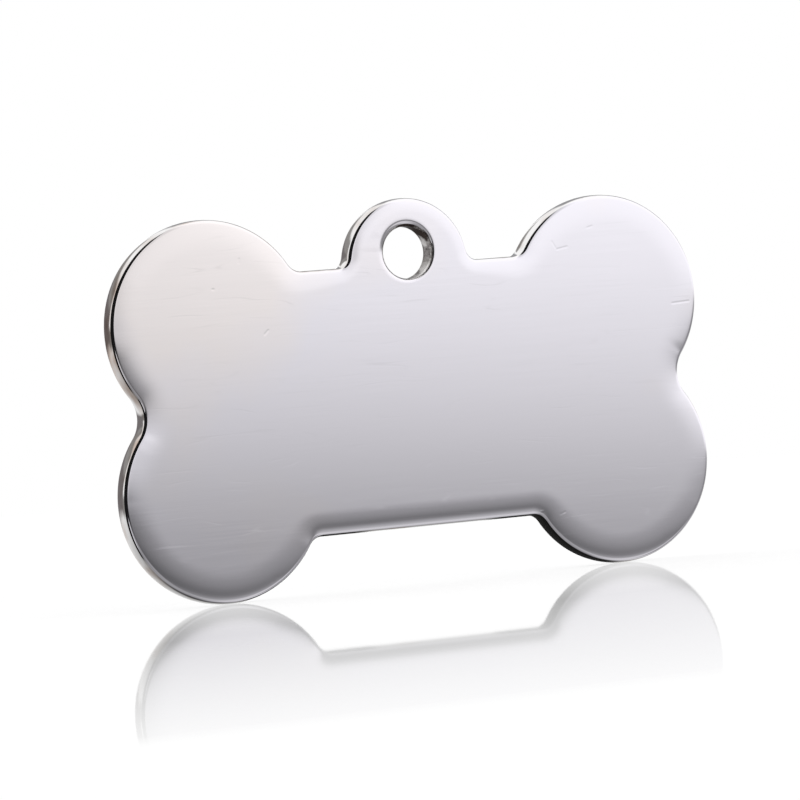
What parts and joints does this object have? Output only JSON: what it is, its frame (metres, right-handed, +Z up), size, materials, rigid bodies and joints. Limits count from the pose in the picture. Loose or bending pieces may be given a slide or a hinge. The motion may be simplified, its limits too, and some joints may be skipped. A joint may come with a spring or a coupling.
{
  "type": "pet id tag",
  "caption": "Bone-shaped pet tag stamped from polished steel plate, with rounded edges, blank faces for engraving and a holed ear at the top for a split ring.",
  "frame": {"origin": "under the ear, midway through the plate's thickness, level with the lowest points of the lower lobes", "axes": "+X along the bone, to the right seen from the front; +Y through the plate from front face to back face; +Z up towards the ear"},
  "size_m": [0.05, 0.0018, 0.0296],
  "materials": {
    "polished_steel": "bright polished stainless steel with fine buffing lines on the faces and mirror-bright rounded edges"
  },
  "bodies": {
    "root": {"tag_plate": "polished_steel"}
  },
  "joints": []
}
